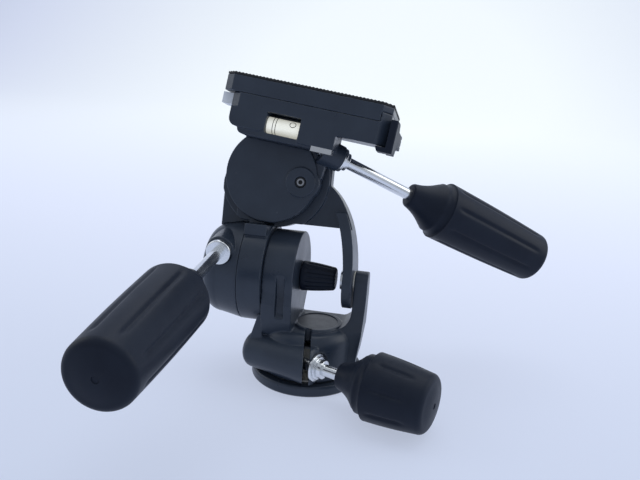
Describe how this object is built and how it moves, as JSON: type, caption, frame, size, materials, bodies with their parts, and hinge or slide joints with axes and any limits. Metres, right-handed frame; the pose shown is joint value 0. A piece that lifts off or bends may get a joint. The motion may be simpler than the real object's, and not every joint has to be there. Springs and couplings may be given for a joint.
{
  "type": "three way pan tilt head",
  "caption": "Tripod head that pans, tilts front to back and tilts sideways, with a clamp handle for each motion, a friction knob, a spirit level and a quick release camera plate",
  "frame": {"origin": "centre of the tripod socket, on the underside of the base", "axes": "X is the front tilt axis, -Y faces the user, Z is the pan axis and points up"},
  "size_m": [0.1825, 0.2158, 0.159],
  "materials": {
    "casting": "satin black paint over die cast aluminium",
    "grip": "satin black moulded plastic",
    "lever_plastic": "satin black moulded plastic",
    "catch_grey": "satin light grey",
    "chrome": "polished chrome plate",
    "steel": "machined, zinc plated",
    "dark_steel": "blackened steel",
    "brass": "machined",
    "nylon": "natural nylon",
    "rubber": "fine ribbed rubber",
    "label": "bare dark panel",
    "vial_white": "white seat behind the level",
    "vial_glass": "clear tube",
    "vial_liquid": "pale liquid",
    "vial_black": "printed rings"
  },
  "bodies": {
    "base": {"base_disc": "casting", "base_grip_ring": "rubber", "pan_spindle": "steel", "spindle_screws": "steel", "retaining_washer": "steel", "retaining_screw": "steel"},
    "pan_body": {"pan_casting": "casting", "thrust_washer": "nylon", "pan_bush": "nylon", "label_panel": "label", "pan_clamp_nut": "brass", "tilt_axle": "steel", "axle_nut": "steel", "pivot_screw": "steel", "pivot_washer": "nylon"},
    "pan_handle": {"pan_stem": "chrome", "pan_washers": "chrome", "pan_grip": "grip"},
    "friction_knob": {"friction_knob": "grip"},
    "tilt_body": {"tilt_casting": "casting", "clamp_housing": "casting", "drum_bolts": "steel", "drum_bush": "nylon", "arm_bush": "nylon", "side_axle": "steel", "side_axle_nut": "steel", "side_friction_washer": "nylon"},
    "tilt_handle": {"tilt_stem": "chrome", "tilt_collar": "chrome", "tilt_grip": "grip"},
    "platform": {"platform_casting": "casting", "side_cover": "casting", "cover_screw": "dark_steel", "side_clamp_plate": "steel", "level_backing": "vial_white", "level_tube": "vial_glass", "level_liquid": "vial_liquid", "level_rings": "vial_black", "lever_pin": "steel", "catch_spring": "steel"},
    "side_handle": {"side_stem": "chrome", "side_washers": "chrome", "side_grip": "grip"},
    "plate_lever": {"plate_lever": "lever_plastic"},
    "safety_catch": {"safety_catch": "catch_grey"},
    "quick_plate": {"quick_plate": "casting", "plate_pad": "rubber"},
    "screw_washer": {"screw_washer": "steel"},
    "camera_screw": {"camera_screw": "steel"}
  },
  "joints": [
    {"name": "pan", "type": "hinge", "parent": "base", "child": "pan_body", "pos_m": [0, 0, 0], "axis": [0, 0, 1], "continuous": true},
    {"name": "pan_lock", "type": "hinge", "parent": "pan_body", "child": "pan_handle", "pos_m": [-0.00787, -0.02161, 0.0175], "axis": [0.9397, -0.342, 0], "range_deg": [-180, 180]},
    {"name": "tilt_friction", "type": "hinge", "parent": "pan_body", "child": "friction_knob", "pos_m": [0, 0, 0.0555], "axis": [1, 0, 0], "continuous": true},
    {"name": "front_tilt", "type": "hinge", "parent": "pan_body", "child": "tilt_body", "pos_m": [0, 0, 0.0555], "axis": [1, 0, 0], "range_deg": [-76.5, 43.5]},
    {"name": "tilt_lock", "type": "hinge", "parent": "tilt_body", "child": "tilt_handle", "pos_m": [-0.0438, -0.022, 0.07096], "axis": [0.0303, -0.9989, -0.035], "range_deg": [-180, 180]},
    {"name": "side_tilt", "type": "hinge", "parent": "tilt_body", "child": "platform", "pos_m": [-0.0236, 0.01179, 0.10461], "axis": [0, 0.9724, -0.2334], "range_deg": [-97.5, 22.5]},
    {"name": "side_lock", "type": "hinge", "parent": "platform", "child": "side_handle", "pos_m": [0.01041, 0.00527, 0.11816], "axis": [0.834, 0.3564, -0.4212], "range_deg": [-180, 180]},
    {"name": "plate_lever_swing", "type": "hinge", "parent": "platform", "child": "plate_lever", "pos_m": [0.03702, 0.02318, 0.12634], "axis": [0.1305, 0.2314, 0.9641], "range_deg": [0, 60]},
    {"name": "catch_press", "type": "slide", "parent": "platform", "child": "safety_catch", "axis": [0.9914, -0.0305, -0.1269], "range_m": [0, 0.002], "stiffness_N_per_m": 300, "deforming": ["catch_spring"]},
    {"name": "plate_lift", "type": "slide", "parent": "platform", "child": "quick_plate", "axis": [0.1305, 0.2314, 0.9641], "range_m": [0, 0.012]},
    {"name": "screw_rise", "type": "slide", "parent": "quick_plate", "child": "screw_washer", "axis": [0.1305, 0.2314, 0.9641], "range_m": [-0.0023, 0.0034]},
    {"name": "screw_turn", "type": "hinge", "parent": "screw_washer", "child": "camera_screw", "pos_m": [-0.00684, 0.01705, 0.13893], "axis": [0.1305, 0.2314, 0.9641], "continuous": true}
  ]
}
